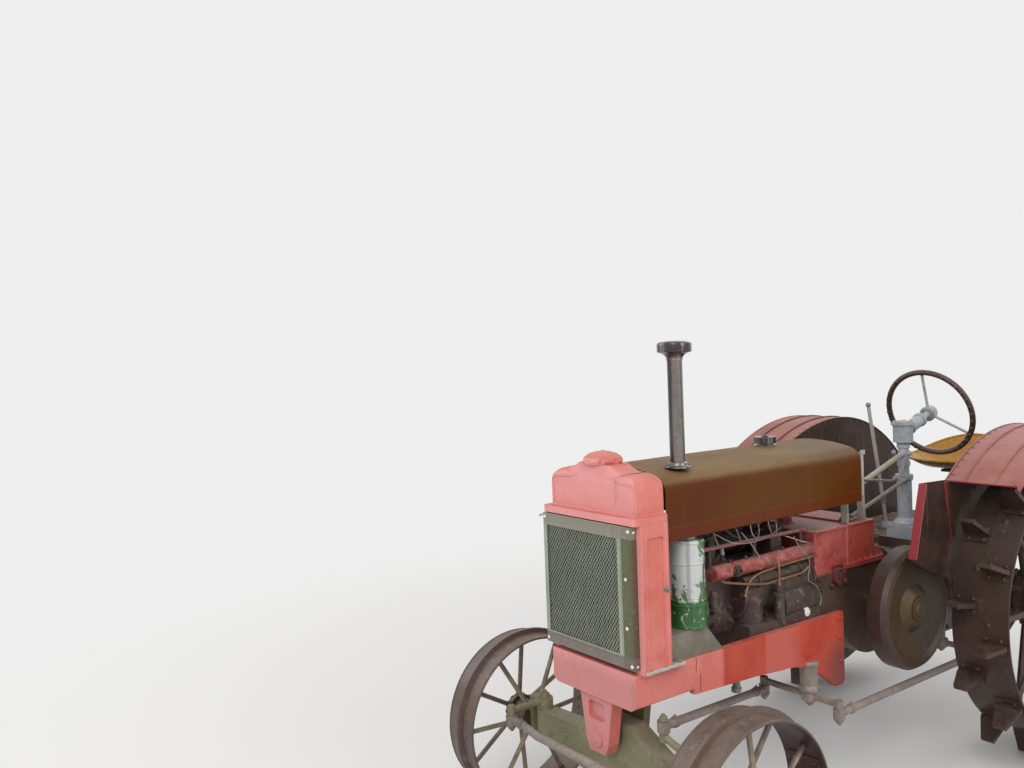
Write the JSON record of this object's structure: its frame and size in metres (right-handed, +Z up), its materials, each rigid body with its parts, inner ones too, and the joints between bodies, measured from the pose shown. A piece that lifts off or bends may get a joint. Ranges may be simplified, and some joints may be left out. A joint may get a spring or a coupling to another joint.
{
  "type": "two-cylinder standard-tread farm tractor on steel wheels",
  "caption": "Vintage farm tractor with a horizontal engine, upright radiator, hood over the fuel tank, air stack, open flywheel, spoked steel wheels with lugs behind and arched rear fenders.",
  "frame": {"origin": "on the floor, under the middle of the tractor's length and width", "axes": "+X to the tractor's left, +Y to its rear, +Z up"},
  "size_m": [1.304, 2.841, 1.668],
  "materials": {
    "faded_red": "faded red paint, chalky and chipped",
    "hood_paint": "dark olive-brown gloss paint",
    "guard_paint": "dark grey-green paint on expanded mesh",
    "core_fins": "dark dusty fins",
    "engine_grime": "oily grey-brown castings",
    "red_casting": "red painted casting, oily",
    "rust": "rusted steel, satin",
    "bare_steel": "dull machined steel",
    "axle_green": "worn olive-green paint over castings",
    "link_grey": "weathered grey steel",
    "cleaner_green": "flaking green paint over white primer",
    "stack_metal": "dark weathered sheet steel",
    "post_blue": "blue-grey paint",
    "wheel_black": "dark hard rubber rim on steel spokes",
    "fender_red": "faded pink-red paint outside, dark inside",
    "deck_steel": "worn dark sheet steel",
    "seat_yellow": "worn yellow paint on pressed steel",
    "bracket_white": "white-grey paint, chipped"
  },
  "bodies": {
    "chassis": {"front_frame": "faded_red", "side_rail_left": "faded_red", "side_rail_right": "faded_red", "radiator_tank": "faded_red", "radiator_cap": "faded_red", "radiator_sides": "faded_red", "radiator_core": "core_fins", "radiator_guard": "guard_paint", "hood": "hood_paint", "fuel_tank": "hood_paint", "fuel_cap": "stack_metal", "hood_bracket": "bracket_white", "air_cleaner": "cleaner_green", "air_stack": "stack_metal", "cylinder_head": "engine_grime", "cylinder_block": "engine_grime", "side_pipe": "red_casting", "manifold": "rust", "carburettor": "engine_grime", "magneto": "engine_grime", "main_case": "red_casting", "front_axle": "axle_green", "axle_housing": "red_casting", "fender_left": "fender_red", "fender_right": "fender_red", "platform": "deck_steel", "seat": "seat_yellow", "steering_post": "post_blue", "clutch_lever": "bracket_white", "drawbar": "deck_steel"},
    "knuckle_left_body": {"knuckle_left": "axle_green"},
    "knuckle_right_body": {"knuckle_right": "axle_green"},
    "front_wheel_left_body": {"front_wheel_left": "rust"},
    "front_wheel_right_body": {"front_wheel_right": "rust"},
    "rear_wheel_left_body": {"rear_wheel_left": "rust"},
    "rear_wheel_right_body": {"rear_wheel_right": "rust"},
    "tie_rod_body": {"tie_rod": "link_grey"},
    "drag_link_body": {"drag_link": "link_grey"},
    "relay_body": {"steering_relay": "link_grey"},
    "rear_link_body": {"rear_link": "link_grey"},
    "pitman_body": {"pitman": "link_grey"},
    "steering_wheel_body": {"steering_wheel": "wheel_black"},
    "crank_body": {"crankshaft": "bare_steel", "flywheel": "rust", "belt_pulley": "rust"}
  },
  "joints": [
    {"name": "knuckle_left_steer", "type": "hinge", "parent": "chassis", "child": "knuckle_left_body", "pos_m": [0.4, -1.1095, 0.311], "axis": [0, 0, 1], "range_deg": [-30, 30]},
    {"name": "knuckle_right_steer", "type": "hinge", "parent": "chassis", "child": "knuckle_right_body", "pos_m": [-0.4, -1.1095, 0.311], "axis": [0, 0, 1], "range_deg": [-30, 30]},
    {"name": "front_wheel_left_spin", "type": "hinge", "parent": "knuckle_left_body", "child": "front_wheel_left_body", "pos_m": [0.513, -1.1095, 0.311], "axis": [1, 0, 0], "continuous": true},
    {"name": "front_wheel_right_spin", "type": "hinge", "parent": "knuckle_right_body", "child": "front_wheel_right_body", "pos_m": [-0.513, -1.1095, 0.311], "axis": [1, 0, 0], "continuous": true},
    {"name": "rear_wheel_left_spin", "type": "hinge", "parent": "chassis", "child": "rear_wheel_left_body", "pos_m": [0.531, 0.6755, 0.60384], "axis": [1, 0, 0], "continuous": true},
    {"name": "rear_wheel_right_spin", "type": "hinge", "parent": "chassis", "child": "rear_wheel_right_body", "pos_m": [-0.531, 0.6755, 0.60384], "axis": [1, 0, 0], "continuous": true},
    {"name": "tie_rod_swing", "type": "hinge", "parent": "knuckle_left_body", "child": "tie_rod_body", "pos_m": [0.4, -1.2595, 0.36], "axis": [0, 0, 1], "range_deg": [-30, 30]},
    {"name": "drag_link_swing", "type": "hinge", "parent": "knuckle_left_body", "child": "drag_link_body", "pos_m": [0.2, -1.1095, 0.478], "axis": [0, 0, 1], "range_deg": [-30, 30]},
    {"name": "relay_turn", "type": "hinge", "parent": "chassis", "child": "relay_body", "pos_m": [0.187, -0.3645, 0.38], "axis": [0, 0, 1], "range_deg": [-30, 30]},
    {"name": "rear_link_swing", "type": "hinge", "parent": "relay_body", "child": "rear_link_body", "pos_m": [0.307, -0.3645, 0.352], "axis": [0, 0, 1], "range_deg": [-30, 30]},
    {"name": "pitman_turn", "type": "hinge", "parent": "chassis", "child": "pitman_body", "pos_m": [0.187, 0.5255, 0.38], "axis": [0, 0, 1], "range_deg": [-30, 30]},
    {"name": "steering_wheel_turn", "type": "hinge", "parent": "chassis", "child": "steering_wheel_body", "pos_m": [0.04, 0.74149, 1.32153], "axis": [0, 0.9511, 0.309], "range_deg": [-360, 360]},
    {"name": "crank_spin", "type": "hinge", "parent": "chassis", "child": "crank_body", "pos_m": [0, 0.0905, 0.638], "axis": [1, 0, 0], "continuous": true}
  ],
  "couplings": [
    {"joint": "knuckle_right_steer", "follows": "knuckle_left_steer", "ratio": 1},
    {"joint": "tie_rod_swing", "follows": "knuckle_left_steer", "ratio": -1},
    {"joint": "drag_link_swing", "follows": "knuckle_left_steer", "ratio": -1},
    {"joint": "relay_turn", "follows": "knuckle_left_steer", "ratio": 1},
    {"joint": "rear_link_swing", "follows": "knuckle_left_steer", "ratio": -1},
    {"joint": "pitman_turn", "follows": "knuckle_left_steer", "ratio": 1},
    {"joint": "steering_wheel_turn", "follows": "knuckle_left_steer", "ratio": 12}
  ]
}
